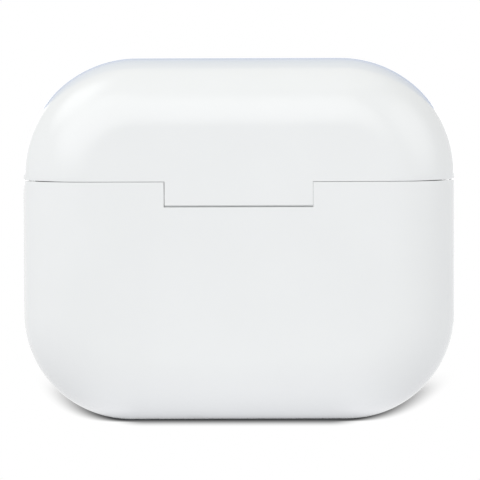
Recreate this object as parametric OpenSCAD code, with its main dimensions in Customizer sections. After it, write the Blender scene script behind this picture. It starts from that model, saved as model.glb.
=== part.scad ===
// Charging case for two stem earbuds: a glossy moulded base and lid, joined by a hidden pin hinge,
// with an inner cradle for the earbuds and the charging parts under it.
// Origin at the middle of the foot, +Z up, indicator side towards -Y, hinge towards +Y.

/* [Case] */
// Width of the closed case
case_w = 54.4; // [50:0.1:60]
// Height of the closed case
case_h = 45.6; // [43:0.1:50]
// Depth of the closed case, front to back
case_d = 21.4; // [20:0.1:24]
// Radius of the upper corners, seen from the front
top_corner_r = 14; // [12:0.1:15]
// Radius of the lower corners, seen from the front
bottom_corner_r = 13; // [12:0.1:15]
// Radius that rounds the outline over to the front and back faces
edge_r = 8.6; // [7.5:0.1:9.5]
// Wall of both casings
wall = 1.5; // [1.2:0.05:1.8]
// Height of the seam above the foot
seam_h = 30.35; // [28:0.05:32]
// Open line between the lid's rim and the base's rim
seam_gap = 0.1; // [0.08:0.02:0.3]
// Clearance round the inner mouldings
fit_gap = 0.1; // [0.05:0.05:0.2]

/* [Hinge] */
// Width of the lid's hinge tongue
tongue_w = 18.4; // [15:0.1:22]
// How far the tongue's lower edge hangs below the seam
tongue_drop = 2.9; // [2.8:0.05:3.6]
// Open line under the tongue
tongue_gap = 0.2; // [0.1:0.05:0.25]
// Open line at each end of the tongue
tongue_side_gap = 0.08; // [0.06:0.02:0.2]
// Distance of the hinge axis inside the back face
pivot_inset = 1; // [0.9:0.05:1.2]
// Distance of the hinge axis below the seam
pivot_drop = 1.9; // [1.7:0.05:2.2]
// Diameter of the hinge pins
pin_d = 1; // [0.8:0.05:1.2]
// Length of each pin that sits in the tongue
pin_grip = 5; // [3:0.1:8]
// Length of each pin boss on the base
boss_len = 3.5; // [2.5:0.1:4.5]
// Plastic round a pin in its boss
boss_wall = 0.7; // [0.5:0.05:0.9]
// Radial clearance of a part that turns or slides
running_gap = 0.05; // [0.03:0.01:0.08]
// Clearance to what swings past
swing_gap = 0.3; // [0.2:0.05:0.4]

/* [Cradle] */
// Depth of the deck below the base's rim
deck_recess = 0.6; // [0.4:0.1:1.5]
// Thickness of the deck
deck_t = 1.4; // [1:0.1:2]
// Wall of the wells
cradle_wall = 0.9; // [0.7:0.05:1.1]
// Distance of each earbud head from the middle
head_x = 11.5; // [10.5:0.1:12.5]
// How far the heads sit in front of the middle
head_forward = 0.8; // [0.6:0.1:1.2]
// Height of the head bowl's centre above the deck
head_rise = 0.5; // [0.2:0.1:1]
// Distance of each stem bore from the middle
stem_x = 14; // [13:0.1:14.5]
// Diameter of the stem bores
stem_bore_d = 6.6; // [6:0.1:7.2]
// Thickness of the stem bores' floors
stem_floor_t = 1; // [0.8:0.05:1.3]
// Bevel round the mouths of the bowls and domes
mouth_bevel = 0.4; // [0.2:0.05:0.6]
// How far the ledges that carry the inner mouldings stand in
ledge_reach = 0.8; // [0.5:0.05:1]
// Width of those ledges
ledge_w = 8; // [4:0.1:10]
// Height of those ledges
ledge_h = 3; // [2:0.1:4]

/* [Lid liner] */
// Depth of the liner above the lid's rim
liner_recess = 0.4; // [0.3:0.05:0.8]
// Thickness of the liner's plate
liner_t = 1; // [0.8:0.05:1.4]
// Room between the domes and the inside of the lid's top
dome_room = 1.7; // [1.2:0.1:3]

/* [Magnets] */
// Diameter of the lid and base magnets
magnet_d = 3.6; // [3:0.1:4]
// Thickness of the lid and base magnets
magnet_t = 2; // [1:0.1:2.4]
// How far these magnets sit in front of the middle
magnet_forward = 3; // [1:0.1:3.5]
// Diameter of the magnets beside the wells
bud_magnet_d = 4; // [3:0.1:4.4]
// Thickness of the magnets beside the wells
bud_magnet_t = 1.4; // [1:0.1:1.6]
// Depth of their middles below the deck
bud_magnet_depth = 4; // [3:0.1:4.5]
// Half the distance between them
bud_magnet_x = 2.6; // [2:0.1:3]
// Wall of the magnet pockets
pocket_wall = 0.6; // [0.5:0.05:0.8]

/* [Spring contacts] */
// Distance between the two contacts of one well
contact_spacing = 2.8; // [2.4:0.1:3.4]
// Height of a contact's barrel
barrel_h = 2.4; // [2:0.1:3]
// Diameter of a contact's barrel
barrel_d = 1.7; // [1.6:0.05:2]
// Diameter of a plunger's nose
nose_d = 0.8; // [0.7:0.05:0.9]
// Diameter of a plunger's shoulder
shoulder_d = 1.1; // [1:0.05:1.2]
// Thickness of a barrel's floor and lip
barrel_lip = 0.3; // [0.2:0.05:0.4]
// Length of a plunger's shoulder
shoulder_h = 0.7; // [0.5:0.05:0.8]
// Height of a nose above the bore's floor
nose_rise = 1; // [0.9:0.05:1.4]

/* [Circuit board] */
// Thickness of the main board
board_t = 0.8; // [0.6:0.1:1]
// Depth of the main board, front to back
board_d = 13; // [10:0.1:14]
// Corner radius of the main board
board_corner_r = 2; // [1:0.1:3]
// Diameter of a screw's shank
screw_d = 1.4; // [1.2:0.1:1.6]
// Diameter of a screw's head
screw_head_d = 2.6; // [2.2:0.1:3]
// Height of a screw's head
screw_head_h = 0.9; // [0.6:0.05:1.2]
// Length of a screw above the board
screw_grip = 3.2; // [2:0.1:4]
// Length of the cross slots in a screw's head
drive_len = 1.6; // [1:0.1:1.8]
// Width of the cross slots in a screw's head
drive_w = 0.35; // [0.2:0.05:0.5]
// Depth of the cross slots in a screw's head
drive_depth = 0.5; // [0.3:0.05:0.7]
// Wall of the posts that take the screws
post_wall = 1; // [0.8:0.05:1.2]
// Side of the charging chip
charge_chip_w = 3; // [2:0.1:4]
// Side of the control chip
control_chip_w = 4; // [3:0.1:5]
// Thickness of both chips
chip_t = 0.8; // [0.5:0.05:1]
// Distance of both chips from the middle
chip_x = 10; // [8:0.1:11]

/* [Charging socket] */
// Width of the socket's shell
port_w = 8.94; // [8.6:0.01:9.2]
// Thickness of the socket's shell, front to back
port_d = 3.26; // [3.1:0.01:3.4]
// Length of the socket
port_len = 7.3; // [6.5:0.1:8]
// Sheet of the socket's shell
port_wall = 0.3; // [0.2:0.05:0.35]
// Depth of the socket's mouth inside the foot
port_recess = 0.5; // [0.3:0.05:0.8]
// Open line round the socket
port_gap = 0.12; // [0.08:0.02:0.2]
// Width of the contact tongue
port_tongue_w = 6.7; // [6:0.1:7]
// Thickness of the contact tongue
port_tongue_t = 0.7; // [0.6:0.05:0.8]
// Depth of the contact tongue's tip inside the socket
port_tongue_recess = 1.1; // [0.8:0.1:2]
// Length of the block that holds the contact tongue
port_block_h = 1.6; // [1:0.1:2.5]

/* [Cell] */
// Depth of the cell, front to back
battery_d = 9; // [6:0.1:10]
// Corner radius of the cell
battery_corner_r = 1.2; // [0.5:0.1:2]
// Thickness of the foam tape under the cell
tape_t = 0.4; // [0.2:0.05:0.6]
// Room between the cell and the wells
battery_room = 0.5; // [0.3:0.05:1]
// Width of a cell tab
tab_w = 2; // [1:0.1:3]
// Sheet of a cell tab
tab_t = 0.15; // [0.1:0.01:0.2]
// Height of a cell tab on the cell's face
tab_h = 2.2; // [1.5:0.1:3]
// Distance of each tab from the middle
tab_x = 4; // [2:0.1:6]

/* [Indicator] */
// Depth of the light below the seam
light_drop = 8; // [6:0.1:9]
// Diameter of the light pipe in the front wall
light_d = 1.5; // [1:0.1:2]
// Diameter of the light pipe's collar
collar_d = 2.4; // [2.2:0.1:3]
// Thickness of the light pipe's collar
collar_t = 0.5; // [0.3:0.05:0.6]
// Gap between the collar and the light
light_gap = 0.2; // [0.1:0.05:0.3]
// Width of the light
led_w = 1.6; // [1:0.1:2]
// Height of the light
led_h = 0.8; // [0.6:0.1:1.2]
// Thickness of the light
led_t = 0.6; // [0.4:0.05:0.8]
// Width of the upright sensor board
sensor_board_w = 5.2; // [4:0.1:5.6]
// Thickness of the upright sensor board
sensor_board_t = 0.6; // [0.4:0.05:0.8]
// How far the sensor board reaches below the light
sensor_board_tail = 2.2; // [1.5:0.1:3]
// Thickness of the cradle's tab behind the sensor board
sensor_tab_t = 1; // [0.8:0.05:1.2]
// Side of the lid sensor
lid_sensor_w = 1.6; // [1.2:0.1:2]
// Depth of the lid sensor's middle below the deck's underside
lid_sensor_drop = 1.6; // [1.2:0.1:2]

/* [Hidden] */
$fn = 64;
sides = [-1, 1];
// Overlap of pieces that are moulded in one, and of cuts that run past a face
weld = 0.4;
// Bevel on the ends of pins and magnets
end_bevel = 0.15;

// Faces and rims
back_y = case_d / 2;
inner_y = back_y - wall;
inner_x = case_w / 2 - wall;
rim_z = seam_h - seam_gap / 2;
lid_rim_z = seam_h + seam_gap / 2;

// Hinge: the tongue's lower end is a barrel about the axis, so that its edge clears the sill
pivot_y = back_y - pivot_inset;
pivot_z = seam_h - pivot_drop;
tongue_barrel_r = sqrt(pow(pivot_inset, 2) + pow(tongue_drop - pivot_drop, 2));
notch_w = tongue_w + 2 * tongue_side_gap;
sill_r = tongue_barrel_r + tongue_gap;
boss_r = pin_d / 2 + boss_wall;
boss_end_x = notch_w / 2 + boss_len;
pin_start_x = tongue_w / 2 - pin_grip;
// The base's outer rim corner passes this far from the axis as the lid swings over it
rim_swing_r = sqrt(pow(pivot_inset, 2) + pow(rim_z - pivot_z, 2)) + running_gap;

// Stack of the inner parts, from the charging socket up
board_under_z = port_recess + port_len;
board_z = board_under_z + board_t;
stem_end_z = board_z + barrel_h;
stem_floor_z = stem_end_z + stem_floor_t;
deck_z = rim_z - deck_recess;
deck_under_z = deck_z - deck_t;

// Wells
head_y = -head_forward;
head_z = deck_z + head_rise;
cup_r = inner_y - fit_gap * 2 - head_forward;
head_r = cup_r - cradle_wall;
stem_r = stem_bore_d / 2;
tube_r = stem_r + cradle_wall;
liner_z = lid_rim_z + liner_recess;
liner_top_z = liner_z + liner_t;
dome_z = case_h - wall - dome_room - cup_r;

// Magnets
pocket_r = magnet_d / 2 + fit_gap + pocket_wall;
magnet_x = inner_x - ledge_reach - fit_gap * 3 - pocket_r;
bud_pocket_r = bud_magnet_d / 2 + fit_gap + pocket_wall;
bud_magnet_z = deck_z - bud_magnet_depth;

// Board posts beside the stem tubes
post_r = screw_d / 2 + post_wall;
post_x = stem_x + stem_r + cradle_wall + post_r - weld * 2;
board_w = 2 * (post_x + post_r);
post_top_z = board_z + screw_grip + post_wall;

// Cell between the stem tubes
battery_w = 2 * (stem_x - tube_r - battery_room);
battery_z = board_z + tape_t;
battery_h = head_z - cup_r - battery_room - battery_z;

// Indicator stack behind the front wall
light_z = seam_h - light_drop;
led_face_y = -inner_y + collar_t + light_gap;
sensor_face_y = led_face_y + led_t;
sensor_tab_y = sensor_face_y + sensor_board_t;
sensor_low_z = light_z - sensor_board_tail;

// A rectangle with round corners, centred
module rounded_rect(w, d, r) {
    square([w - 2 * r, d], center = true);
    square([w, d - 2 * r], center = true);
    for (x = sides, y = sides)
        translate([x * (w / 2 - r), y * (d / 2 - r)])
            circle(r);
}

// Section from the middle of a corner out to its rim, with the rim rounded to front and back
module edge_section(reach, depth, r) {
    intersection() {
        translate([0, -depth / 2])
            square([reach, depth]);
        union() {
            translate([0, -depth / 2])
                square([reach - r, depth]);
            translate([0, r - depth / 2])
                square([reach, depth - 2 * r]);
            for (y = sides)
                translate([reach - r, y * (depth / 2 - r)])
                    circle(r);
        }
    }
}

// Quarter of a rounded disc about an axis along Y, from +X to +Z
module corner(reach, depth, r) {
    rotate([90, 0, 0])
        rotate_extrude(angle = 90)
            edge_section(reach, depth, r);
}

// Upper or lower end of the form: a straight run along X between two corners, rounded towards +Z
module form_end(corner_r, depth, r, inset) {
    half_run = case_w / 2 - corner_r;
    rotate([0, -90, 0])
        linear_extrude(2 * half_run, center = true)
            edge_section(corner_r - inset, depth, r);
    for (side = sides)
        on_side(side)
            translate([half_run, 0, 0])
                corner(corner_r - inset, depth, r);
}

// The case's outer form, or the form that lies inset behind it everywhere
module case_form(inset) {
    d = case_d - 2 * inset;
    r = edge_r - inset;
    top_z = case_h - top_corner_r;
    translate([0, 0, bottom_corner_r])
        linear_extrude(top_z - bottom_corner_r)
            rounded_rect(case_w - 2 * inset, d, r);
    translate([0, 0, top_z])
        form_end(top_corner_r, d, r, inset);
    translate([0, 0, bottom_corner_r])
        mirror([0, 0, 1])
            form_end(bottom_corner_r, d, r, inset);
}

// Children as they are on the right, mirrored on the left
module on_side(side) {
    if (side > 0)
        children();
    else
        mirror([1, 0, 0])
            children();
}

// Everything between two heights
module slab(from_z, to_z) {
    translate([-case_w, -case_d, from_z])
        cube([2 * case_w, 2 * case_d, to_z - from_z]);
}

// Hollow casing between two heights
module casing(from_z, to_z) {
    intersection() {
        difference() {
            case_form(0);
            case_form(wall);
        }
        slab(from_z, to_z);
    }
}

// Round bar along X between two distances from the middle, about the hinge axis
module hinge_bar(r, from_x, to_x) {
    translate([from_x, pivot_y, pivot_z])
        rotate([0, 90, 0])
            cylinder(r = r, h = to_x - from_x);
}

// Ledge on an end wall, with a sloping underside; its flat side faces +Z
module end_ledge() {
    translate([inner_x, 0, 0])
        rotate([90, 0, 0])
            linear_extrude(ledge_w, center = true)
                polygon([[-ledge_reach, 0], [weld, 0], [weld, -ledge_h], [0, -ledge_h],
                    [-ledge_reach, -ledge_h / 2]]);
}

// Slot with round ends along X, in the XY plane
module slot(w, d) {
    square([w - d, d], center = true);
    for (side = sides)
        translate([side * (w - d) / 2, 0])
            circle(d / 2);
}

module base_shell() {
    color("whitesmoke")
        difference() {
            union() {
                casing(0, rim_z);
                for (side = sides)
                    on_side(side) {
                        translate([0, 0, deck_under_z])
                            end_ledge();
                        intersection() {
                            hinge_bar(boss_r, notch_w / 2, boss_end_x);
                            translate([0, 0, pivot_z - case_d])
                                cube([case_w, inner_y + wall / 2, 2 * case_d]);
                        }
                    }
            }
            hinge_bar(sill_r, -notch_w / 2, notch_w / 2);
            translate([-notch_w / 2, pivot_y - sill_r, pivot_z])
                cube([notch_w, 2 * sill_r, case_h]);
            hinge_bar(pin_d / 2 + running_gap / 2, -boss_end_x - weld, boss_end_x + weld);
            translate([0, 0, -weld])
                linear_extrude(port_recess + port_len)
                    slot(port_w + 2 * port_gap, port_d + 2 * port_gap);
            translate([0, -inner_y + weld, light_z])
                rotate([90, 0, 0])
                    cylinder(d = light_d + running_gap, h = wall + 2 * weld);
        }
}

module lid_shell() {
    color("white")
        difference() {
            union() {
                difference() {
                    casing(lid_rim_z, case_h);
                    for (side = sides)
                        on_side(side)
                            hinge_bar(rim_swing_r, tongue_w / 2, case_w / 2);
                }
                intersection() {
                    case_form(0);
                    union() {
                        hinge_bar(tongue_barrel_r, -tongue_w / 2, tongue_w / 2);
                        translate([-tongue_w / 2, pivot_y - pivot_inset, pivot_z])
                            cube([tongue_w, 2 * pivot_inset, lid_rim_z + wall - pivot_z]);
                    }
                }
                for (side = sides)
                    on_side(side)
                        translate([0, 0, liner_top_z])
                            mirror([0, 0, 1])
                                end_ledge();
            }
            for (side = sides)
                on_side(side)
                    hinge_bar(pin_d / 2 + running_gap, pin_start_x - weld, tongue_w / 2 + weld);
        }
}

// Plan of the inner mouldings, a clearance inside the casings' walls
module inner_plan() {
    rounded_rect(2 * (inner_x - fit_gap), 2 * (inner_y - fit_gap), edge_r - wall - fit_gap);
}

// Cone that bevels the mouth of a bowl or dome; it opens towards +Z and reaches the face at height 0
module mouth() {
    translate([head_x, head_y, -mouth_bevel - weld])
        cylinder(r1 = head_r - weld, r2 = head_r + mouth_bevel + weld, h = mouth_bevel + 2 * weld);
}

// One dome of the liner, from a height up
module dome(r, from_z) {
    intersection() {
        translate([head_x, head_y, dome_z])
            sphere(r);
        slab(dome_z, case_h);
    }
    translate([head_x, head_y, from_z])
        cylinder(r = r, h = dome_z - from_z);
}

module lid_liner() {
    color("white")
        difference() {
            union() {
                translate([0, 0, liner_z])
                    linear_extrude(liner_t)
                        inner_plan();
                for (side = sides)
                    on_side(side) {
                        dome(cup_r, liner_z);
                        translate([magnet_x, -magnet_forward, liner_z])
                            cylinder(r = pocket_r, h = liner_t + magnet_t);
                    }
            }
            for (side = sides)
                on_side(side) {
                    dome(head_r, liner_z - weld);
                    translate([0, 0, liner_z])
                        mirror([0, 0, 1])
                            mouth();
                    translate([magnet_x, -magnet_forward, liner_top_z])
                        cylinder(d = magnet_d + 2 * fit_gap, h = magnet_t + weld);
                }
            translate([-notch_w / 2, pivot_y - pivot_inset - swing_gap, liner_z - weld])
                cube([notch_w, case_d, liner_t + 2 * weld]);
        }
}

// The room that one earbud takes in the base, grown by a margin
module well(margin, floor_t) {
    translate([head_x, head_y, head_z])
        sphere(head_r + margin);
    translate([stem_x, head_y, stem_floor_z - floor_t])
        cylinder(r = stem_r + margin, h = head_z - stem_floor_z + floor_t);
}

module cradle() {
    color("white")
        difference() {
            union() {
                translate([0, 0, deck_under_z])
                    linear_extrude(deck_t)
                        inner_plan();
                translate([-sensor_board_w / 2, sensor_tab_y, sensor_low_z])
                    cube([sensor_board_w, sensor_tab_t, deck_under_z + weld - sensor_low_z]);
                for (side = sides)
                    on_side(side) {
                        intersection() {
                            well(cradle_wall, stem_floor_t);
                            slab(0, deck_z);
                        }
                        translate([magnet_x, -magnet_forward, deck_under_z - magnet_t])
                            cylinder(r = pocket_r, h = magnet_t + weld);
                        translate([bud_magnet_x, head_y, bud_magnet_z])
                            rotate([0, 90, 0])
                                cylinder(r = bud_pocket_r, h = bud_pocket_r);
                        translate([post_x, head_y, board_z])
                            cylinder(r = post_r, h = post_top_z - board_z);
                    }
            }
            for (side = sides)
                on_side(side) {
                    well(0, 0);
                    translate([0, 0, deck_z])
                        mouth();
                    translate([magnet_x, -magnet_forward, deck_under_z - magnet_t - weld])
                        cylinder(d = magnet_d + 2 * fit_gap, h = magnet_t + weld);
                    translate([bud_magnet_x - weld, head_y, bud_magnet_z])
                        rotate([0, 90, 0])
                            cylinder(d = bud_magnet_d + 2 * fit_gap, h = bud_magnet_t + weld);
                    translate([post_x, head_y, board_z - weld])
                        cylinder(d = screw_d + running_gap, h = screw_grip + weld * 2);
                    for (y = sides)
                        translate([stem_x, head_y + y * contact_spacing / 2, stem_end_z - weld])
                            cylinder(d = nose_d + 4 * running_gap, h = stem_floor_t + 2 * weld);
                }
            translate([-boss_end_x - swing_gap, pivot_y - sill_r - swing_gap, deck_under_z - weld])
                cube([2 * (boss_end_x + swing_gap), case_d, deck_t + 2 * weld]);
        }
}

module hinge_pins() {
    color("silver")
        for (side = sides)
            on_side(side)
                translate([pin_start_x, pivot_y, pivot_z])
                    rotate([0, 90, 0])
                        bevelled_rod(pin_d / 2, boss_end_x - pin_start_x);
}

// Pin or disc from the origin up, with a bevel at both ends
module bevelled_rod(r, length) {
    rotate_extrude()
        polygon([[0, 0], [r - end_bevel, 0], [r, end_bevel], [r, length - end_bevel],
            [r - end_bevel, length], [0, length]]);
}

module lid_magnets() {
    color("silver")
        for (side = sides)
            translate([side * magnet_x, -magnet_forward, liner_top_z])
                bevelled_rod(magnet_d / 2, magnet_t);
}

module base_magnets() {
    color("silver")
        for (side = sides)
            translate([side * magnet_x, -magnet_forward, deck_under_z - magnet_t])
                bevelled_rod(magnet_d / 2, magnet_t);
}

module bud_magnets() {
    color("silver")
        for (side = sides)
            on_side(side)
                translate([bud_magnet_x, head_y, bud_magnet_z])
                    rotate([0, 90, 0])
                        bevelled_rod(bud_magnet_d / 2, bud_magnet_t);
}

module contact_barrels() {
    color("gold")
        for (x = sides, y = sides)
            translate([x * stem_x, head_y + y * contact_spacing / 2, board_z])
                difference() {
                    cylinder(d = barrel_d, h = barrel_h);
                    translate([0, 0, barrel_lip])
                        cylinder(d = shoulder_d + 2 * running_gap, h = barrel_h - 2 * barrel_lip);
                    translate([0, 0, barrel_lip])
                        cylinder(d = nose_d + 2 * running_gap, h = barrel_h);
                }
}

// One sprung plunger: a shoulder that the barrel's lip holds, and a nose with a round tip
module contact(x, y) {
    shoulder_top_z = stem_end_z - barrel_lip - running_gap;
    tip_z = stem_floor_z + nose_rise;
    color("gold")
        translate([x * stem_x, head_y + y * contact_spacing / 2, 0]) {
            translate([0, 0, shoulder_top_z - shoulder_h])
                cylinder(d = shoulder_d, h = shoulder_h);
            translate([0, 0, shoulder_top_z - shoulder_h])
                cylinder(d = nose_d, h = tip_z - nose_d / 2 - shoulder_top_z + shoulder_h);
            translate([0, 0, tip_z - nose_d / 2])
                sphere(d = nose_d);
        }
}

module left_front_contact() {
    contact(-1, -1);
}

module left_back_contact() {
    contact(-1, 1);
}

module right_front_contact() {
    contact(1, -1);
}

module right_back_contact() {
    contact(1, 1);
}

module main_board() {
    color("darkgreen")
        translate([0, 0, board_under_z])
            linear_extrude(board_t)
                difference() {
                    rounded_rect(board_w, board_d, board_corner_r);
                    for (side = sides)
                        translate([side * post_x, head_y])
                            circle(d = screw_d + 2 * fit_gap);
                }
}

module board_screws() {
    color("dimgray")
        for (side = sides)
            translate([side * post_x, head_y, board_under_z])
                difference() {
                    union() {
                        translate([0, 0, -screw_head_h])
                            cylinder(d = screw_head_d, h = screw_head_h);
                        cylinder(d = screw_d, h = board_t + screw_grip);
                    }
                    translate([0, 0, -screw_head_h - weld]) {
                        translate([-drive_len / 2, -drive_w / 2, 0])
                            cube([drive_len, drive_w, drive_depth + weld]);
                        translate([-drive_w / 2, -drive_len / 2, 0])
                            cube([drive_w, drive_len, drive_depth + weld]);
                    }
                }
}

module port_shell() {
    color("silver")
        translate([0, 0, port_recess])
            linear_extrude(port_len)
                difference() {
                    slot(port_w, port_d);
                    slot(port_w - 2 * port_wall, port_d - 2 * port_wall);
                }
}

module port_tongue() {
    inset = port_wall + running_gap;
    color("black") {
        translate([0, 0, board_under_z - port_block_h])
            linear_extrude(port_block_h)
                slot(port_w - 2 * inset, port_d - 2 * inset);
        translate([-port_tongue_w / 2, -port_tongue_t / 2, port_recess + port_tongue_recess])
            cube([port_tongue_w, port_tongue_t, port_len - port_tongue_recess]);
    }
}

module battery() {
    color("lightgray")
        translate([0, head_y, battery_z])
            linear_extrude(battery_h)
                rounded_rect(battery_w, battery_d, battery_corner_r);
}

module battery_tape() {
    color("black")
        translate([0, head_y, board_z])
            linear_extrude(tape_t)
                square([battery_w - 2 * battery_corner_r, battery_d - 2 * battery_corner_r], center = true);
}

module battery_tabs() {
    color("silver")
        for (side = sides)
            translate([side * tab_x - tab_w / 2, head_y - battery_d / 2 - tab_t, board_z])
                cube([tab_w, tab_t, tape_t + tab_h]);
}

module charge_chip() {
    color("black")
        translate([chip_x - charge_chip_w / 2, -charge_chip_w / 2, board_under_z - chip_t])
            cube([charge_chip_w, charge_chip_w, chip_t]);
}

module control_chip() {
    color("black")
        translate([-chip_x - control_chip_w / 2, -control_chip_w / 2, board_under_z - chip_t])
            cube([control_chip_w, control_chip_w, chip_t]);
}

module sensor_board() {
    color("darkgreen")
        translate([-sensor_board_w / 2, sensor_face_y, sensor_low_z])
            cube([sensor_board_w, sensor_board_t, deck_under_z - sensor_low_z]);
}

module lid_sensor() {
    color("black")
        translate([-lid_sensor_w / 2, led_face_y, deck_under_z - lid_sensor_drop - lid_sensor_w / 2])
            cube([lid_sensor_w, led_t, lid_sensor_w]);
}

module indicator_led() {
    color("lightyellow")
        translate([-led_w / 2, led_face_y, light_z - led_h / 2])
            cube([led_w, led_t, led_h]);
}

module light_pipe() {
    color("white")
        translate([0, -back_y, light_z])
            rotate([-90, 0, 0]) {
                cylinder(d = light_d, h = wall + collar_t);
                translate([0, 0, wall])
                    cylinder(d = collar_d, h = collar_t);
            }
}

base_shell();
lid_shell();
lid_liner();
cradle();
hinge_pins();
lid_magnets();
base_magnets();
bud_magnets();
contact_barrels();
left_front_contact();
left_back_contact();
right_front_contact();
right_back_contact();
main_board();
board_screws();
port_shell();
port_tongue();
battery();
battery_tape();
battery_tabs();
charge_chip();
control_chip();
sensor_board();
lid_sensor();
indicator_led();
light_pipe();
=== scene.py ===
import math

import bmesh
import bpy
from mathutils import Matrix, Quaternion, Vector, geometry


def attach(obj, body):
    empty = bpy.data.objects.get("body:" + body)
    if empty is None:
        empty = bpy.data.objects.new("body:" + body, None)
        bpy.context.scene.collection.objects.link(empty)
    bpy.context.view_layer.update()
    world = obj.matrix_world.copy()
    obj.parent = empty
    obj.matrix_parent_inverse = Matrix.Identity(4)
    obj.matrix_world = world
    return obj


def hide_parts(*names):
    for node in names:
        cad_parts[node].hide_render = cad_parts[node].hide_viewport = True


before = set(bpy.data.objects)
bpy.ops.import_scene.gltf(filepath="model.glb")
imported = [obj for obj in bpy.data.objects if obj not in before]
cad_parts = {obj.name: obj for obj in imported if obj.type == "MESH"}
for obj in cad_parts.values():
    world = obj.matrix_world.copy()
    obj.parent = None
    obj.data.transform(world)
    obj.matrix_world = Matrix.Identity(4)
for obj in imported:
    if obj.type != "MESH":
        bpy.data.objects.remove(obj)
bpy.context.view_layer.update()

# BASE CASING
# The lower half of the case: one injection moulding in white ABS, 1.5 mm thick, from a polished tool.
# Its back wall has a notch with a round sill, in which the lid's hinge tongue turns.
mm = 0.001
case_half_w = 27.2 * mm
case_half_d = 10.7 * mm
edge_r = 8.6 * mm
wall = 1.5 * mm
back_y = case_half_d
inner_y = back_y - wall
hinge_y = 9.7 * mm
hinge_z = 28.45 * mm
base_rim_z = 30.3 * mm
base_corner_r = 13.5 * mm
notch_half_w = 9.28 * mm
sill_r = 1.614 * mm
slot_half_w = 4.59 * mm
slot_r = 1.75 * mm
light_z = 22.35 * mm
light_bore_r = 0.775 * mm
rim_round = 0.05 * mm
corner_steps, roll_steps = 36, 30


def linear(code):
    """The linear colour of an sRGB hex value."""
    shares = [int(code[k:k + 2], 16) / 255 for k in (0, 2, 4)]
    return [s / 12.92 if s <= 0.04045 else ((s + 0.055) / 1.055) ** 2.4 for s in shares] + [1.0]


def add_node(tree, kind, settings=None, inputs=None):
    """One node: its settings by name, and its inputs as a value or as the output that feeds it."""
    node = tree.nodes.new(kind)
    for name, value in (settings or {}).items():
        setattr(node, name, value)
    for name, value in (inputs or {}).items():
        if isinstance(value, bpy.types.NodeSocket):
            tree.links.new(value, node.inputs[name])
        else:
            node.inputs[name].default_value = value
    return node


def new_finish(name):
    """An empty material, and the tree that its nodes go into."""
    finish = bpy.data.materials.new(name)
    finish.use_nodes = True
    finish.node_tree.nodes.clear()
    return finish, finish.node_tree


def casing_outline(rim_z, end_z, corner_r, breaks=()):
    """Stations from a casing's right rim over its closed end to its left rim: x, z and the way out."""
    way = 1 if end_z > rim_z else -1
    centre_z = end_z - way * corner_r
    stations = [(case_half_w, rim_z, 1, 0)]
    for k in range(corner_steps + 1):
        a = math.radians(90 * k / corner_steps)
        out_x, out_z = math.cos(a), way * math.sin(a)
        stations.append((case_half_w - corner_r * (1 - out_x), centre_z + corner_r * out_z, out_x, out_z))
    stations += [(x, end_z, 0, way) for x in breaks]
    return stations + [(-x, z, -out_x, out_z) for x, z, out_x, out_z in reversed(stations)]


def casing_skin(bm, stations, inset):
    """Rows of corners over the outer skin, or over the skin that lies inset behind it, front to back."""
    r = edge_r - inset
    turns = [math.radians(90 * k / roll_steps) for k in range(roll_steps + 1)]
    section = [(edge_r - r * math.sin(a), edge_r - r * math.cos(a) - case_half_d) for a in turns]
    section += [(depth, -y) for depth, y in reversed(section)]
    return [[bm.verts.new((x - out_x * depth, y, z - out_z * depth)) for depth, y in section]
            for x, z, out_x, out_z in stations]


def panel(bm, loop, hole=None):
    """A flat face, with a hole in it where a second loop is given."""
    if hole is None:
        bm.faces.new(loop)
        return
    corners = loop + hole
    for three in geometry.tessellate_polygon([[v.co for v in loop], [v.co for v in hole]]):
        bm.faces.new([corners[k] for k in three])


def band(bm, first, second, closed=True):
    """Faces between two rows of corners."""
    count = len(first)
    for k in range(count if closed else count - 1):
        n = (k + 1) % count
        bm.faces.new((first[k], first[n], second[n], second[k]))


def round_loop(bm, place, r, count=40):
    """Corners round a circle; place turns the two flat distances into a point."""
    turns = [2 * math.pi * k / count for k in range(count)]
    return [bm.verts.new(place(r * math.cos(a), r * math.sin(a))) for a in turns]


def casing(bm, stations, rim_z, half_w, hinge_section,
           slot=(None, None), light=(None, None), pin=(None, None)):
    """Outer and inner skin, the rim that joins them, and the notch or tongue in the middle of the back."""
    skins = [casing_skin(bm, stations, inset) for inset in (0, wall)]
    middle = len(stations) // 2 - 1
    side_flat = len(skins[0][0]) // 2 - 1
    for rows, slot_loop, light_loop in zip(skins, slot, light):
        for i in range(len(rows) - 1):
            for j in range(len(rows[0]) - 1):
                cell = [rows[i][j], rows[i + 1][j], rows[i + 1][j + 1], rows[i][j + 1]]
                panel(bm, cell, slot_loop if (i, j) == (middle, side_flat) else None)
        panel(bm, [row[0] for row in rows], light_loop)
    outer, inner = skins
    for end in (0, -1):
        band(bm, outer[end], inner[end], closed=False)
    bm.faces.new((outer[0][0], outer[-1][0], inner[-1][0], inner[0][0]))
    corners, edges = {}, {}
    for side, end, pin_loop in ((1, 0, pin[0]), (-1, -1, pin[1])):
        corners[side] = [bm.verts.new((side * half_w, y, rim_z)) for y in (back_y, inner_y)]
        edges[side] = [bm.verts.new((side * half_w, y, z)) for y, z in hinge_section]
        bm.faces.new((outer[end][-1], *corners[side], inner[end][-1]))
        panel(bm, [corners[side][0], *edges[side], corners[side][1]], pin_loop)
    for rows, k in ((outer, 0), (inner, -1)):
        panel(bm, [row[-1] for row in rows] + [corners[-1][k], edges[-1][k], edges[1][k], corners[1][k]])
    band(bm, edges[-1], edges[1], closed=False)


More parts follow.
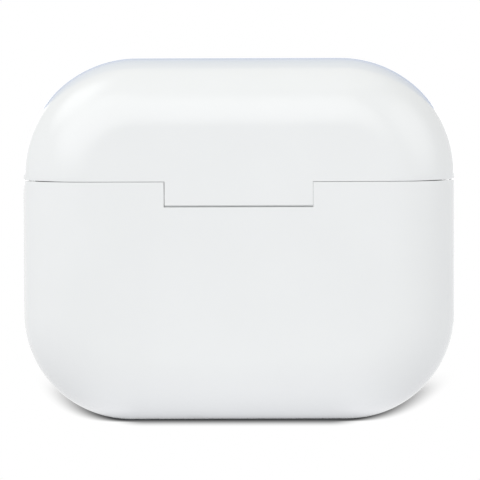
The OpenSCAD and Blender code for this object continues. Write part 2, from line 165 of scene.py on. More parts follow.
def finish_mesh(bm, name, finish, body, node, rounding):
    """Turns the corners and faces into a smooth piece with rounded edges that stands for a CAD node."""
    bmesh.ops.recalc_face_normals(bm, faces=bm.faces)
    mesh = bpy.data.meshes.new(name)
    bm.to_mesh(mesh)
    bm.free()
    mesh.shade_smooth()
    piece = bpy.data.objects.new(name, mesh)
    bpy.context.scene.collection.objects.link(piece)
    mesh.materials.append(finish)
    bevel = piece.modifiers.new("moulded edges", "BEVEL")
    bevel.width = rounding
    bevel.segments = 2
    bevel.limit_method = "ANGLE"
    bevel.angle_limit = math.radians(35)
    bevel.use_clamp_overlap = True
    normals = piece.modifiers.new("true flats", "WEIGHTED_NORMAL")
    normals.keep_sharp = True
    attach(piece, body)
    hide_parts(node)


# Injection-moulded gloss ABS: a polished tool leaves a mirror-like skin with a faint flow ripple a few
# millimetres long, so reflections are sharp but never quite straight. Handling dulls it in soft patches.
gloss_abs, tree = new_finish("ABS_gloss_moulded")
place = add_node(tree, "ShaderNodeTexCoord")
patches = add_node(tree, "ShaderNodeTexNoise", {}, {
    "Vector": place.outputs["Object"], "Scale": 1 / (9 * mm), "Detail": 4.0, "Roughness": 0.55})
ripple = add_node(tree, "ShaderNodeTexNoise", {}, {
    "Vector": place.outputs["Object"], "Scale": 1 / (3.5 * mm), "Detail": 1.0, "Roughness": 0.4})
tint = add_node(tree, "ShaderNodeMix", {"data_type": "RGBA"}, {
    0: patches.outputs[0], 6: linear("EEF0EF"), 7: linear("F2F4F3")})
haze = add_node(tree, "ShaderNodeMapRange", {}, {
    "Value": patches.outputs[0], "From Min": 0.3, "From Max": 0.7, "To Min": 0.06, "To Max": 0.1})
skin = add_node(tree, "ShaderNodeBump", {}, {
    "Height": ripple.outputs[0], "Strength": 0.012, "Distance": 0.2 * mm})
shader = add_node(tree, "ShaderNodeBsdfPrincipled", {}, {
    "Base Color": tint.outputs[2], "Roughness": haze.outputs[0], "Normal": skin.outputs[0], "IOR": 1.53})
add_node(tree, "ShaderNodeOutputMaterial", {}, {"Surface": shader.outputs[0]})

# The foot has a slot for the charging socket, in a panel of its own, and the front wall a bore for the light.
slot_panel_half_w = 6 * mm
slot_steps, sill_steps = 24, 14
bm = bmesh.new()
slot_loops = []
for z in (0, wall):
    loop = []
    for side in (1, -1):
        for k in range(slot_steps + 1):
            a = math.radians(180 * k / slot_steps - 90 * side)
            x = side * (slot_half_w - slot_r) + slot_r * math.cos(a)
            loop.append(bm.verts.new((x, slot_r * math.sin(a), z)))
    slot_loops.append(loop)
band(bm, *slot_loops)
light_loops = [round_loop(bm, lambda u, v: (u, y, light_z + v), light_bore_r) for y in (-back_y, -inner_y)]
band(bm, *light_loops)
sill = []
for k in range(sill_steps + 1):
    y = back_y - wall * k / sill_steps
    sill.append((y, hinge_z - math.sqrt(sill_r ** 2 - (y - hinge_y) ** 2)))
outline = casing_outline(base_rim_z, 0, base_corner_r, breaks=(slot_panel_half_w,))
casing(bm, outline, base_rim_z, notch_half_w, sill, slot_loops, light_loops)

# The tongue sits to one side of its notch, so the gap nearly closes at the end that is on the right in the
# picture.
tight = 0.055 * mm
same_place = 0.0001 * mm
for corner in bm.verts:
    if abs(corner.co.x + notch_half_w) < same_place:
        corner.co.x += tight

# A boss beside each end of the notch holds a hinge pin. It is cut flat inside the thickness of the back wall.
boss_r = 1.2 * mm
boss_start_x, boss_end_x = notch_half_w - 0.02 * mm, 12.78 * mm
boss_cut_y = inner_y + 1.2 * mm
boss_steps = 30
pin_bore_r = 0.525 * mm
half_cut = math.acos((boss_cut_y - hinge_y) / boss_r)
turns = [half_cut + (2 * math.pi - 2 * half_cut) * k / boss_steps for k in range(boss_steps + 1)]
for side in (1, -1):
    ends, bores = [], []
    for x in (boss_start_x, boss_end_x):
        ends.append([bm.verts.new((side * x, hinge_y + boss_r * math.cos(a), hinge_z + boss_r * math.sin(a)))
                     for a in turns])
        bores.append(round_loop(bm, lambda u, v: (side * x, hinge_y + u, hinge_z + v), pin_bore_r, count=24))
        panel(bm, ends[-1], bores[-1])
    band(bm, *ends)
    band(bm, *bores)

ledge_reach, ledge_root, ledge_half_w, ledge_h = 0.8 * mm, 0.4 * mm, 4 * mm, 3 * mm
deck_under_z = 28.3 * mm
inner_x = case_half_w - wall


def ledges(bm, seat_z, way):
    """A ledge in each end of a casing, flat at the seat, sloped on its other side and rooted in the wall."""
    for side in (1, -1):
        shape = [(inner_x - ledge_reach, 0), (inner_x + ledge_root, 0), (inner_x + ledge_root, way * ledge_h),
                 (inner_x, way * ledge_h), (inner_x - ledge_reach, way * ledge_h / 2)]
        loops = [[bm.verts.new((side * x, y, seat_z + z)) for x, z in shape]
                 for y in (-ledge_half_w, ledge_half_w)]
        for loop in loops:
            panel(bm, loop)
        band(bm, *loops)


ledges(bm, deck_under_z, -1)
finish_mesh(bm, "base_casing", gloss_abs, "base", "base_shell", rim_round)

# LIGHT PIPE
# A plug of opal polycarbonate pressed into the front wall, with a collar behind it. It carries the light of
# the small lamp inside to the outside.
# Moulded opal PC: milky, with a little light passing through, and a skin duller than the casing's.
opal_pc, tree = new_finish("PC_opal_moulded")
place = add_node(tree, "ShaderNodeTexCoord")
cloud = add_node(tree, "ShaderNodeTexNoise", {}, {
    "Vector": place.outputs["Object"], "Scale": 1 / (0.6 * mm), "Detail": 2.0})
milk = add_node(tree, "ShaderNodeMix", {"data_type": "RGBA"}, {
    0: cloud.outputs[0], 6: linear("DFE2E2"), 7: linear("EDEFEF")})
dull = add_node(tree, "ShaderNodeMapRange", {}, {"Value": cloud.outputs[0], "To Min": 0.28, "To Max": 0.4})
shader = add_node(tree, "ShaderNodeBsdfPrincipled", {}, {
    "Base Color": milk.outputs[2], "Roughness": dull.outputs[0], "IOR": 1.58, "Transmission Weight": 0.25})
add_node(tree, "ShaderNodeOutputMaterial", {}, {"Surface": shader.outputs[0]})
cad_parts["light_pipe"].material_slots[0].material = opal_pc

# CRADLE
# The inner moulding of the base: a deck with a bowl for each earbud's head and a bore for its stem. It is
# white ABS from a spark-eroded tool, and rests on ledges in the casing.
# Spark-eroded ABS: craters of about 0.12 mm, drawn twice as wide so that they show, break the gloss to an
# even satin, with paler patches of painted sheen where fingers rub it; those patches are also rougher.
satin_abs, tree = new_finish("ABS_satin_spark_eroded")
place = add_node(tree, "ShaderNodeTexCoord")
crater = add_node(tree, "ShaderNodeTexVoronoi", {"feature": "SMOOTH_F1"}, {
    "Vector": place.outputs["Object"], "Scale": 1 / (0.24 * mm), "Smoothness": 0.6})
wear_and_painted_sheen = add_node(tree, "ShaderNodeTexNoise", {}, {
    "Vector": place.outputs["Object"], "Scale": 1 / (6 * mm), "Detail": 3.0})
tint = add_node(tree, "ShaderNodeMix", {"data_type": "RGBA"}, {
    0: wear_and_painted_sheen.outputs[0], 6: linear("E9EBEA"), 7: linear("F0F2F1")})
sheen = add_node(tree, "ShaderNodeMapRange", {}, {
    "Value": wear_and_painted_sheen.outputs[0], "From Min": 0.3, "From Max": 0.7, "To Min": 0.34, "To Max": 0.5})
pits = add_node(tree, "ShaderNodeBump", {}, {
    "Height": crater.outputs["Distance"], "Strength": 0.08, "Distance": 0.03 * mm})
shader = add_node(tree, "ShaderNodeBsdfPrincipled", {}, {
    "Base Color": tint.outputs[2], "Roughness": sheen.outputs[0], "Normal": pits.outputs[0], "IOR": 1.53})
add_node(tree, "ShaderNodeOutputMaterial", {}, {"Surface": shader.outputs[0]})
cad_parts["cradle"].material_slots[0].material = satin_abs

# CRADLE MAGNETS
# Sintered neodymium discs: one under each end of the deck to hold the lid down, and one beside each well to
# pull an earbud in. They are pressed into their pockets.
# Barrel-plated nickel: bright, warm grey, with rub marks about 0.5 mm long from the tumbling.
nickel, tree = new_finish("nickel_barrel_plated")
place = add_node(tree, "ShaderNodeTexCoord")
rub = add_node(tree, "ShaderNodeTexNoise", {}, {
    "Vector": place.outputs["Object"], "Scale": 1 / (0.5 * mm), "Detail": 5.0, "Roughness": 0.7})
plate = add_node(tree, "ShaderNodeMix", {"data_type": "RGBA"}, {
    0: rub.outputs[0], 6: linear("BDB9B0"), 7: linear("D6D3CB")})
wear = add_node(tree, "ShaderNodeMapRange", {}, {"Value": rub.outputs[0], "To Min": 0.14, "To Max": 0.36})
shader = add_node(tree, "ShaderNodeBsdfPrincipled", {}, {
    "Base Color": plate.outputs[2], "Roughness": wear.outputs[0], "Metallic": 1.0})
add_node(tree, "ShaderNodeOutputMaterial", {}, {"Surface": shader.outputs[0]})
for name in ("base_magnets", "bud_magnets"):
    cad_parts[name].material_slots[0].material = nickel

# CIRCUIT BOARDS
# The main board under the wells, and the small upright board behind the front wall: glass-epoxy laminate
# with copper tracks under green solder mask. The main board is screwed to the cradle's posts.
# Solder mask: a green varnish, paler and raised where copper runs under it, in tracks 0.3 mm wide.
solder_mask, tree = new_finish("FR4_green_solder_mask")
place = add_node(tree, "ShaderNodeTexCoord")
tracks = add_node(tree, "ShaderNodeTexBrick", {"offset": 0.35, "squash": 1.6, "squash_frequency": 3}, {
    "Vector": place.outputs["Object"], "Scale": 1 / (2.4 * mm), "Mortar Size": 0.06, "Mortar Smooth": 0.2,
    "Color1": (0, 0, 0, 1), "Color2": (0, 0, 0, 1), "Mortar": (1, 1, 1, 1)})
weave = add_node(tree, "ShaderNodeTexNoise", {}, {
    "Vector": place.outputs["Object"], "Scale": 1 / (0.8 * mm), "Detail": 2.0})
mask = add_node(tree, "ShaderNodeMix", {"data_type": "RGBA"}, {
    0: weave.outputs[0], 6: linear("0B3D22"), 7: linear("10492A")})
varnish = add_node(tree, "ShaderNodeMix", {"data_type": "RGBA"}, {
    0: tracks.outputs["Color"], 6: mask.outputs[2], 7: linear("2B6B3C")})
relief = add_node(tree, "ShaderNodeBump", {}, {
    "Height": tracks.outputs["Color"], "Strength": 0.4, "Distance": 0.04 * mm})
gloss = add_node(tree, "ShaderNodeMapRange", {}, {
    "Value": weave.outputs[0], "To Min": 0.28, "To Max": 0.42})
shader = add_node(tree, "ShaderNodeBsdfPrincipled", {}, {
    "Base Color": varnish.outputs[2], "Roughness": gloss.outputs[0], "Normal": relief.outputs[0],
    "IOR": 1.55})
add_node(tree, "ShaderNodeOutputMaterial", {}, {"Surface": shader.outputs[0]})
for name in ("main_board", "sensor_board"):
    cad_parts[name].material_slots[0].material = solder_mask

# CHIPS
# The charging circuit and the controller under the main board, and the sensor that notices the lid's
# magnet: moulded packages, soldered flat to the boards.
# Transfer-moulded epoxy: near black and matt, with paler specks of about 0.1 mm that are painted glints of
# its silica fill.
epoxy, tree = new_finish("epoxy_black_transfer_moulded")
place = add_node(tree, "ShaderNodeTexCoord")
painted_glint_specks = add_node(tree, "ShaderNodeTexNoise", {}, {
    "Vector": place.outputs["Object"], "Scale": 1 / (0.1 * mm), "Detail": 3.0, "Roughness": 0.8})
black = add_node(tree, "ShaderNodeMix", {"data_type": "RGBA"}, {
    0: painted_glint_specks.outputs[0], 6: linear("161616"), 7: linear("2A2A2B")})
matt = add_node(tree, "ShaderNodeMapRange", {}, {"Value": painted_glint_specks.outputs[0], "To Min": 0.5, "To Max": 0.75})
shader = add_node(tree, "ShaderNodeBsdfPrincipled", {}, {
    "Base Color": black.outputs[2], "Roughness": matt.outputs[0], "IOR": 1.54})
add_node(tree, "ShaderNodeOutputMaterial", {}, {"Surface": shader.outputs[0]})
for name in ("charge_chip", "control_chip", "lid_sensor"):
    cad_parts[name].material_slots[0].material = epoxy

# INDICATOR LAMP
# A surface-mount lamp on the upright board, right behind the light pipe. It is off, as in a closed case.
# Cast resin over phosphor: a pale yellow pool in the middle of a white rim, smooth and a little clear.
lamp_resin, tree = new_finish("resin_phosphor_cast")
place = add_node(tree, "ShaderNodeTexCoord")
pool = add_node(tree, "ShaderNodeVectorMath", {"operation": "DISTANCE"}, {
    0: place.outputs["Object"], 1: (0, -8.5 * mm, light_z)})
rim = add_node(tree, "ShaderNodeMapRange", {}, {
    "Value": pool.outputs["Value"], "From Min": 0.3 * mm, "From Max": 0.42 * mm})
resin = add_node(tree, "ShaderNodeMix", {"data_type": "RGBA"}, {
    0: rim.outputs[0], 6: linear("E8D878"), 7: linear("F0EEE6")})
shader = add_node(tree, "ShaderNodeBsdfPrincipled", {}, {
    "Base Color": resin.outputs[2], "Roughness": 0.22, "IOR": 1.5})
add_node(tree, "ShaderNodeOutputMaterial", {}, {"Surface": shader.outputs[0]})
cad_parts["indicator_led"].material_slots[0].material = lamp_resin

# CHARGING SOCKET
# A drawn steel shell that stands in the foot's slot, soldered to the board, round a tongue of black plastic
# with gold-plated contacts along both faces.
# Drawn stainless steel: draw lines along the socket, about 0.3 mm apart with finer ones between them, stretch
# its reflections.
drawn_steel, tree = new_finish("stainless_steel_drawn")
place = add_node(tree, "ShaderNodeTexCoord")
draw = add_node(tree, "ShaderNodeMapping", {}, {
    "Vector": place.outputs["Object"], "Scale": (1 / (0.3 * mm), 1 / (0.3 * mm), 1 / (8 * mm))})
lines = add_node(tree, "ShaderNodeTexNoise", {}, {"Vector": draw.outputs[0], "Scale": 1.0, "Detail": 4.0})
steel = add_node(tree, "ShaderNodeMix", {"data_type": "RGBA"}, {
    0: lines.outputs[0], 6: linear("A9AAAC"), 7: linear("C6C7C8")})
brush = add_node(tree, "ShaderNodeMapRange", {}, {
    "Value": lines.outputs[0], "To Min": 0.22, "To Max": 0.42})
shader = add_node(tree, "ShaderNodeBsdfPrincipled", {}, {
    "Base Color": steel.outputs[2], "Roughness": brush.outputs[0], "Metallic": 1.0, "Anisotropic": 0.4})
add_node(tree, "ShaderNodeOutputMaterial", {}, {"Surface": shader.outputs[0]})
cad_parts["port_shell"].material_slots[0].material = drawn_steel

# Insert-moulded polymer: matt black between gold contacts 0.3 mm wide, set 0.5 mm apart along the tongue.
contact_pitch, contact_w, contact_reach_z = 0.5 * mm, 0.3 * mm, 5.5 * mm
insert, tree = new_finish("LCP_black_with_gold_inserts")
place = add_node(tree, "ShaderNodeTexCoord")
axes = add_node(tree, "ShaderNodeSeparateXYZ", {}, {0: place.outputs["Object"]})
steps = add_node(tree, "ShaderNodeMath", {"operation": "PINGPONG"}, {
    0: axes.outputs["X"], 1: contact_pitch / 2})
stripe = add_node(tree, "ShaderNodeMath", {"operation": "LESS_THAN"}, {
    0: steps.outputs[0], 1: contact_w / 2})
inside = add_node(tree, "ShaderNodeMath", {"operation": "LESS_THAN"}, {
    0: axes.outputs["Z"], 1: contact_reach_z})
gold_here = add_node(tree, "ShaderNodeMath", {"operation": "MULTIPLY"}, {
    0: stripe.outputs[0], 1: inside.outputs[0]})
grain = add_node(tree, "ShaderNodeTexNoise", {}, {
    "Vector": place.outputs["Object"], "Scale": 1 / (0.2 * mm), "Detail": 2.0})
black = add_node(tree, "ShaderNodeMix", {"data_type": "RGBA"}, {
    0: grain.outputs[0], 6: linear("141415"), 7: linear("1E1E20")})
both = add_node(tree, "ShaderNodeMix", {"data_type": "RGBA"}, {
    0: gold_here.outputs[0], 6: black.outputs[2], 7: linear("D8B25C")})
matt = add_node(tree, "ShaderNodeMapRange", {}, {
    "Value": gold_here.outputs[0], "To Min": 0.55, "To Max": 0.25})
shader = add_node(tree, "ShaderNodeBsdfPrincipled", {}, {
    "Base Color": both.outputs[2], "Roughness": matt.outputs[0], "Metallic": gold_here.outputs[0]})
add_node(tree, "ShaderNodeOutputMaterial", {}, {"Surface": shader.outputs[0]})
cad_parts["port_tongue"].material_slots[0].material = insert

# SPRING CONTACTS
# Four turned brass barrels on the board, each with a sprung plunger whose nose stands up through the floor
# of a stem bore and meets the earbud.
# Gold flash over nickel: warm and bright, with turning rings 0.05 mm apart, drawn at 0.15 mm so that they
# show. The wave pattern turns by 20 radians for each unit of its scale.
ring_pitch, wave_rate = 0.15 * mm, 20
gold, tree = new_finish("brass_turned_gold_plated")
place = add_node(tree, "ShaderNodeTexCoord")
rings = add_node(tree, "ShaderNodeTexWave", {"bands_direction": "Z", "wave_profile": "SIN"}, {
    "Vector": place.outputs["Object"], "Scale": 2 * math.pi / wave_rate / ring_pitch, "Distortion": 0.6})
plate = add_node(tree, "ShaderNodeMix", {"data_type": "RGBA"}, {
    0: rings.outputs["Fac"], 6: linear("CFA24A"), 7: linear("E2BC69")})
ring_gloss = add_node(tree, "ShaderNodeMapRange", {}, {
    "Value": rings.outputs["Fac"], "To Min": 0.18, "To Max": 0.3})
shader = add_node(tree, "ShaderNodeBsdfPrincipled", {}, {
    "Base Color": plate.outputs[2], "Roughness": ring_gloss.outputs[0], "Metallic": 1.0})
add_node(tree, "ShaderNodeOutputMaterial", {}, {"Surface": shader.outputs[0]})
for name in ("contact_barrels", "left_front_contact", "left_back_contact", "right_front_contact",
             "right_back_contact"):
    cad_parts[name].material_slots[0].material = gold

# CELL
# A lithium pouch cell between the stem bores, on a strip of foam tape, with two nickel tabs that are folded
# down to the board.
# Laminated aluminium foil: dull silver with a soft quilted relief about 1.5 mm across from the pressing,
# painted darker in the relief's hollows as shade.
foil, tree = new_finish("aluminium_foil_laminated")
place = add_node(tree, "ShaderNodeTexCoord")
quilt = add_node(tree, "ShaderNodeTexNoise", {}, {
    "Vector": place.outputs["Object"], "Scale": 1 / (1.5 * mm), "Detail": 3.0})
silver = add_node(tree, "ShaderNodeMix", {"data_type": "RGBA"}, {
    0: quilt.outputs[0], 6: linear("B4B7BB"), 7: linear("CBCED1")})
press = add_node(tree, "ShaderNodeBump", {}, {
    "Height": quilt.outputs[0], "Strength": 0.25, "Distance": 0.1 * mm})
dull = add_node(tree, "ShaderNodeMapRange", {}, {"Value": quilt.outputs[0], "To Min": 0.3, "To Max": 0.48})
shader = add_node(tree, "ShaderNodeBsdfPrincipled", {}, {
    "Base Color": silver.outputs[2], "Roughness": dull.outputs[0], "Normal": press.outputs[0],
    "Metallic": 1.0})
add_node(tree, "ShaderNodeOutputMaterial", {}, {"Surface": shader.outputs[0]})
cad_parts["battery"].material_slots[0].material = foil

# Closed-cell foam: dark grey and matt, with cut bubbles of about 0.3 mm, each with painted shade in its
# hollow.
foam, tree = new_finish("polyurethane_foam_die_cut")
place = add_node(tree, "ShaderNodeTexCoord")
bubbles = add_node(tree, "ShaderNodeTexVoronoi", {}, {
    "Vector": place.outputs["Object"], "Scale": 1 / (0.3 * mm)})
grey = add_node(tree, "ShaderNodeMix", {"data_type": "RGBA"}, {
    0: bubbles.outputs["Distance"], 6: linear("1E1E1F"), 7: linear("39393B")})
cells = add_node(tree, "ShaderNodeBump", {}, {
    "Height": bubbles.outputs["Distance"], "Strength": 0.5, "Distance": 0.08 * mm})
shader = add_node(tree, "ShaderNodeBsdfPrincipled", {}, {
    "Base Color": grey.outputs[2], "Roughness": 0.9, "Normal": cells.outputs[0]})
add_node(tree, "ShaderNodeOutputMaterial", {}, {"Surface": shader.outputs[0]})
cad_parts["battery_tape"].material_slots[0].material = foam
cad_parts["battery_tabs"].material_slots[0].material = nickel

# BOARD SCREWS
# Two thread-forming screws, driven up through the board into the cradle's posts.
# Black-oxide steel: blue-black and oily, worn to grey in specks of about 0.2 mm.
oxide, tree = new_finish("steel_black_oxide")
place = add_node(tree, "ShaderNodeTexCoord")
specks = add_node(tree, "ShaderNodeTexNoise", {}, {
    "Vector": place.outputs["Object"], "Scale": 1 / (0.2 * mm), "Detail": 4.0})
blacked = add_node(tree, "ShaderNodeMix", {"data_type": "RGBA"}, {
    0: specks.outputs[0], 6: linear("2C2D31"), 7: linear("57585C")})
oil = add_node(tree, "ShaderNodeMapRange", {}, {"Value": specks.outputs[0], "To Min": 0.3, "To Max": 0.5})
shader = add_node(tree, "ShaderNodeBsdfPrincipled", {}, {
    "Base Color": blacked.outputs[2], "Roughness": oil.outputs[0], "Metallic": 1.0})
add_node(tree, "ShaderNodeOutputMaterial", {}, {"Surface": shader.outputs[0]})
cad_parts["board_screws"].material_slots[0].material = oxide

# LID CASING
# The upper half, moulded in the same ABS and polished alike. The hinge tongue is part of it: it hangs below
# the rim, ends in a barrel about the hinge axis and has a blind pin bore in each end.
case_top_z = 45.6 * mm
lid_rim_z = 30.4 * mm
lid_corner_r = 14.4 * mm
tongue_half_w = 9.2 * mm
barrel_r = 1.414 * mm
tongue_inner_y = 8.7 * mm
root_z = 31.9 * mm
tongue_bore_r = 0.55 * mm
bore_end_x = 3.8 * mm
barrel_steps = 30

bm = bmesh.new()
pin_loops = []
for side in (1, -1):
    loops = [round_loop(bm, lambda u, v: (side * x, hinge_y + u, hinge_z + v), tongue_bore_r, count=24)
             for x in (tongue_half_w, bore_end_x)]
    band(bm, *loops)
    panel(bm, loops[1])
    pin_loops.append(loops[0])
start = math.atan2(-math.sqrt(barrel_r ** 2 - (back_y - hinge_y) ** 2), back_y - hinge_y)
tongue = []
for k in range(barrel_steps + 1):
    a = start - math.pi * k / barrel_steps
    tongue.append((hinge_y + barrel_r * math.cos(a), hinge_z + barrel_r * math.sin(a)))
tongue += [(tongue_inner_y, root_z), (inner_y, root_z)]
outline = casing_outline(lid_rim_z, case_top_z, lid_corner_r)
casing(bm, outline, lid_rim_z, tongue_half_w, tongue, pin=pin_loops)

# Along the back the rim's outer edge is a lip, which makes the seam finer than round the ends. Its inner edge
# lies higher, so that the rim clears the base's rim as the lid swings over it.
lip, lip_from_y, lip_full_y = 0.05 * mm, 8.7 * mm, 10.5 * mm
scoop, scoop_from_y, scoop_full_y = 0.4 * mm, 8.3 * mm, 8.8 * mm
for corner in bm.verts:
    x, y, z = corner.co
    if abs(z - lid_rim_z) < same_place and y > 0:
        turn_r = math.hypot(max(abs(x) - case_half_w + edge_r, 0), y - case_half_d + edge_r)
        if turn_r > edge_r - wall / 2:
            corner.co.z -= lip * min(max((y - lip_from_y) / (lip_full_y - lip_from_y), 0), 1)
        else:
            corner.co.z += scoop * min(max((y - scoop_from_y) / (scoop_full_y - scoop_from_y), 0), 1)

liner_top_z = 31.8 * mm
ledges(bm, liner_top_z, 1)
finish_mesh(bm, "lid_casing", gloss_abs, "lid", "lid_shell", rim_round)

# LID LINER
# The inner moulding of the lid, with a dome over each earbud's head and a pocket for each magnet. It is the
# same satin ABS as the cradle, and snaps in over the ledges at the lid's ends.
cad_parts["lid_liner"].material_slots[0].material = satin_abs

# LID MAGNETS
# Two plated discs like those in the cradle, pressed into the liner's pockets above them.
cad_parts["lid_magnets"].material_slots[0].material = nickel

# HINGE PINS
# Two short pins of drawn steel, pushed from inside through the base's bosses into the tongue's bores.
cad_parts["hinge_pins"].material_slots[0].material = drawn_steel

# STUDIO
# The case stands on a white light table, lit through the sheet from below. A large softbox hangs behind the
# camera, one high on the left of the picture and a weak one overhead, with white bounces on the right and low
# behind the case. An oval blue-grey flag, up behind the case, tints the gloss of the lid's top edge.
bpy.context.scene.view_settings.view_transform = "Standard"

# White acrylic, matt on top: evenly bright, with a soft shadow drawn in where the case keeps light off it.
foot_half_w, foot_half_d = 19 * mm, 2.1 * mm
painted_shadow_from, painted_shadow_to = 0.5 * mm, 45 * mm
table_sheet, tree = new_finish("acrylic_opal_matt")
ray = add_node(tree, "ShaderNodeLightPath")
place = add_node(tree, "ShaderNodeTexCoord")
grain = add_node(tree, "ShaderNodeTexNoise", {}, {
    "Vector": place.outputs["Object"], "Scale": 1 / (2 * mm), "Detail": 2.0})
opal = add_node(tree, "ShaderNodeMix", {"data_type": "RGBA"}, {
    0: grain.outputs[0], 6: linear("F6F6F6"), 7: linear("FAFAFA")})

# Painted shadow in the sheet's colour: dark grey at the foot, and paler with the distance from it.
near = add_node(tree, "ShaderNodeVectorMath", {"operation": "ABSOLUTE"}, {0: place.outputs["Object"]})
past = add_node(tree, "ShaderNodeVectorMath", {"operation": "SUBTRACT"}, {
    0: near.outputs[0], 1: (foot_half_w, foot_half_d, 0)})
outside = add_node(tree, "ShaderNodeVectorMath", {"operation": "MAXIMUM"}, {
    0: past.outputs[0], 1: (0, 0, 0)})
away = add_node(tree, "ShaderNodeVectorMath", {"operation": "LENGTH"}, {0: outside.outputs[0]})
painted_shadow_fade = add_node(tree, "ShaderNodeMapRange", {}, {
    "Value": away.outputs["Value"], "From Min": painted_shadow_from, "From Max": painted_shadow_to})
painted_shadow_colour = add_node(tree, "ShaderNodeMix", {"data_type": "RGBA"}, {
    0: painted_shadow_fade.outputs[0], 6: linear("484848"), 7: opal.outputs[2]})
sheet = add_node(tree, "ShaderNodeBsdfDiffuse", {}, {"Color": painted_shadow_colour.outputs[2]})

# The painted shadow's shape, outside which the sheet is seen plain white: a strip from under the foot towards
# the front of the case, a little askew, which widens with the root of its length. Its edge is soft, sharper
# at the sides than at the ends, and it fades out ahead of the case.
strip_mid_y, strip_half_w, strip_half_d = -40 * mm, 11.4 * mm, 43 * mm
strip_start_y, strip_spread = 6 * mm, 0.0595
strip_turn, strip_shift = 0.018, -0.14 * mm
side_sharpness = 1.9
soft_from, soft_to = 0.5 * mm, 9 * mm
fade_from_y, fade_to_y = -28 * mm, -62 * mm
turned = add_node(tree, "ShaderNodeMapping", {}, {
    "Vector": place.outputs["Object"], "Rotation": (0, 0, strip_turn), "Location": (strip_shift, 0, 0)})
behind = add_node(tree, "ShaderNodeVectorMath", {"operation": "SUBTRACT"}, {
    0: turned.outputs[0], 1: (0, strip_mid_y, 0)})
sides = add_node(tree, "ShaderNodeVectorMath", {"operation": "ABSOLUTE"}, {0: behind.outputs[0]})
axes = add_node(tree, "ShaderNodeSeparateXYZ", {}, {0: place.outputs["Object"]})
ahead = add_node(tree, "ShaderNodeMath", {"operation": "SUBTRACT"}, {
    0: strip_start_y, 1: axes.outputs["Y"]})
spread = add_node(tree, "ShaderNodeMath", {"operation": "SQRT"}, {0: ahead.outputs[0]})
strip = add_node(tree, "ShaderNodeVectorMath", {"operation": "MULTIPLY_ADD"}, {
    0: spread.outputs[0], 1: (-strip_spread, 0, 0), 2: sides.outputs[0]})
beyond = add_node(tree, "ShaderNodeVectorMath", {"operation": "SUBTRACT"}, {
    0: strip.outputs[0], 1: (strip_half_w, strip_half_d, 0)})
clear = add_node(tree, "ShaderNodeVectorMath", {"operation": "MAXIMUM"}, {
    0: beyond.outputs[0], 1: (0, 0, 0)})
narrow = add_node(tree, "ShaderNodeVectorMath", {"operation": "MULTIPLY"}, {
    0: clear.outputs[0], 1: (side_sharpness, 1, 1)})
edge = add_node(tree, "ShaderNodeVectorMath", {"operation": "LENGTH"}, {0: narrow.outputs[0]})
fade = add_node(tree, "ShaderNodeMapRange", {"interpolation_type": "SMOOTHSTEP"}, {
    "Value": edge.outputs["Value"], "From Min": soft_from, "From Max": soft_to})
painted_shadow_mask = add_node(tree, "ShaderNodeMapRange", {"interpolation_type": "SMOOTHSTEP"}, {
    "Value": axes.outputs["Y"], "From Min": fade_from_y, "From Max": fade_to_y,
    "To Min": fade.outputs[0], "To Max": 1.0})
white = add_node(tree, "ShaderNodeEmission", {}, {"Color": (1, 1, 1, 1), "Strength": 1.0})
ground = add_node(tree, "ShaderNodeMixShader", {}, {
    0: painted_shadow_mask.outputs[0], 1: sheet.outputs[0], 2: white.outputs[0]})

# The light that the sheet gives the case: full under the foot, weaker beside its ends as painted shade for
# the case shading the sheet, and nearly full again further out.
glow_under, glow_painted_shade, glow_out = 1.02, 0.77, 0.95
beside_x, out_from_x, out_to_x = 5 * mm, 7 * mm, 17 * mm
aside = add_node(tree, "ShaderNodeSeparateXYZ", {}, {0: outside.outputs[0]})
painted_shade_dip = add_node(tree, "ShaderNodeMapRange", {}, {
    "Value": aside.outputs["X"], "From Min": 0.0, "From Max": beside_x,
    "To Min": glow_under, "To Max": glow_painted_shade})
glow = add_node(tree, "ShaderNodeMapRange", {}, {
    "Value": aside.outputs["X"], "From Min": out_from_x, "From Max": out_to_x,
    "To Min": painted_shade_dip.outputs[0], "To Max": glow_out})
below = add_node(tree, "ShaderNodeEmission", {}, {"Color": linear("F2F2F6"), "Strength": glow.outputs[0]})
seen = add_node(tree, "ShaderNodeMath", {"operation": "ADD"}, {
    0: ray.outputs["Is Camera Ray"], 1: ray.outputs["Is Glossy Ray"]})
seen_all = add_node(tree, "ShaderNodeMath", {"operation": "ADD", "use_clamp": True}, {
    0: seen.outputs[0], 1: ray.outputs["Is Transmission Ray"]})
surface = add_node(tree, "ShaderNodeMixShader", {}, {
    0: seen_all.outputs[0], 1: below.outputs[0], 2: ground.outputs[0]})
add_node(tree, "ShaderNodeOutputMaterial", {}, {"Surface": surface.outputs[0]})

table_size = 3.0
bm = bmesh.new()
bmesh.ops.create_grid(bm, x_segments=1, y_segments=1, size=table_size)
mesh = bpy.data.meshes.new("light_table")
bm.to_mesh(mesh)
bm.free()
mesh.materials.append(table_sheet)
table = bpy.data.objects.new("light_table", mesh)
bpy.context.scene.collection.objects.link(table)

# The room is white where it is seen or mirrored, and gives a weaker even fill.
fill_light = 0.44
world = bpy.data.worlds.new("white_room")
bpy.context.scene.world = world
world.use_nodes = True
tree = world.node_tree
tree.nodes.clear()
ray = add_node(tree, "ShaderNodeLightPath")
seen = add_node(tree, "ShaderNodeMath", {"operation": "ADD"}, {
    0: ray.outputs["Is Camera Ray"], 1: ray.outputs["Is Glossy Ray"]})
seen_all = add_node(tree, "ShaderNodeMath", {"operation": "ADD", "use_clamp": True}, {
    0: seen.outputs[0], 1: ray.outputs["Is Transmission Ray"]})
fill = add_node(tree, "ShaderNodeBackground", {}, {"Color": linear("F2F2F2"), "Strength": fill_light})
white = add_node(tree, "ShaderNodeBackground", {}, {"Color": (1, 1, 1, 1), "Strength": 1.0})
room = add_node(tree, "ShaderNodeMixShader", {}, {
    0: seen_all.outputs[0], 1: fill.outputs[0], 2: white.outputs[0]})
add_node(tree, "ShaderNodeOutputWorld", {}, {"Surface": room.outputs[0]})

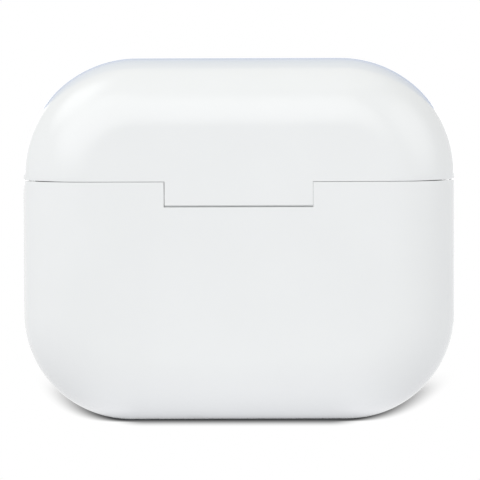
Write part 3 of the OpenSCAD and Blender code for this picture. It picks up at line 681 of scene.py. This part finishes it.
# Softboxes and bounces: place and size in metres, how far out the cloth is evenly bright as a share of its
# size, and how bright it is. The table hides the lowest part of each bounce.
lamp_aim = Vector((0, 0, 0.03))
cloth_end = 0.56
for name, spot, width, height, core, radiance in (
        ("softbox_over", (0.04, 0.03, 0.5), 0.5, 0.86, 0.3, 0.29),
        ("softbox_left", (0.46, 0.01, 0.55), 0.6, 0.66, 0.1, 1.74),
        ("softbox_front", (0.4, 0.9, 0.62), 2.4, 1.45, 0.2, 1.25),
        ("bounce_right", (-0.5, 0.2, 0.3), 0.8, 0.8, 0.1, 1.0),
        ("bounce_behind", (0.1, -0.8, 0.16), 1.0, 0.8, 0.2, 1.4)):
    lamp = bpy.data.lights.new(name, "AREA")
    lamp.shape = "RECTANGLE"
    lamp.size, lamp.size_y = width, height
    lamp.energy = radiance * math.pi * width * height
    lamp.use_nodes = True
    tree = lamp.node_tree
    tree.nodes.clear()
    face = add_node(tree, "ShaderNodeNewGeometry")
    off_centre = add_node(tree, "ShaderNodeVectorMath", {"operation": "DISTANCE"}, {
        0: face.outputs["Parametric"], 1: (0.5, 0.5, 0)})
    cloth = add_node(tree, "ShaderNodeMapRange", {"interpolation_type": "SMOOTHSTEP"}, {
        "Value": off_centre.outputs["Value"], "From Min": core, "From Max": cloth_end,
        "To Min": 1.0, "To Max": 0.0})
    shine = add_node(tree, "ShaderNodeEmission", {}, {"Strength": cloth.outputs[0]})
    add_node(tree, "ShaderNodeOutputLight", {}, {"Surface": shine.outputs[0]})
    holder = bpy.data.objects.new(name, lamp)
    holder.location = spot
    holder.rotation_euler = (lamp_aim - Vector(spot)).to_track_quat("-Z", "Y").to_euler()
    bpy.context.scene.collection.objects.link(holder)

# Blue-grey felt on an oval frame, seen only in reflections: it stands in the way of no camera. The felt
# glows at its own colour instead of being lit.
flag_y, flag_mid_z, flag_half_w, flag_half_h = -0.15, 0.195, 0.14, 0.155
flag_points = 48
flag_felt, tree = new_finish("felt_flag_grey")
place = add_node(tree, "ShaderNodeTexCoord")
nap = add_node(tree, "ShaderNodeTexNoise", {}, {
    "Vector": place.outputs["Object"], "Scale": 1 / (4 * mm), "Detail": 3.0})
felt = add_node(tree, "ShaderNodeMix", {"data_type": "RGBA"}, {
    0: nap.outputs[0], 6: linear("B5C5E6"), 7: linear("BDCCEA")})
flag_glow = add_node(tree, "ShaderNodeEmission", {}, {"Color": felt.outputs[2], "Strength": 1.0})
add_node(tree, "ShaderNodeOutputMaterial", {}, {"Surface": flag_glow.outputs[0]})
turns = [2 * math.pi * k / flag_points for k in range(flag_points)]
rim_points = [(flag_half_w * math.cos(a), flag_y, flag_mid_z + flag_half_h * math.sin(a)) for a in turns]
mesh = bpy.data.meshes.new("back_flag")
mesh.from_pydata(rim_points, [], [range(flag_points)])
mesh.materials.append(flag_felt)
flag = bpy.data.objects.new("back_flag", mesh)
bpy.context.scene.collection.objects.link(flag)
flag.visible_camera = False
flag.visible_shadow = False
flag.visible_diffuse = False

# CAMERA
# A long lens about 0.4 m behind the case, level with its top edge and tilted down to its middle. It leans by
# a fraction of a degree, as the seam does in the picture.
camera_x, camera_lean = -0.14 * mm, math.radians(-0.16)
stand = Vector((camera_x, 0.41, 0.0444))
aim = Vector((camera_x, 0, 0.02254))
camera = bpy.data.cameras.new("camera")
camera.sensor_width = 36
camera.lens = 242.2
view = bpy.data.objects.new("camera", camera)
view.location = stand
lean = Quaternion((0, 0, 1), camera_lean)
view.rotation_euler = ((aim - stand).to_track_quat("-Z", "Y") @ lean).to_euler()
bpy.context.scene.collection.objects.link(view)
bpy.context.scene.camera = view
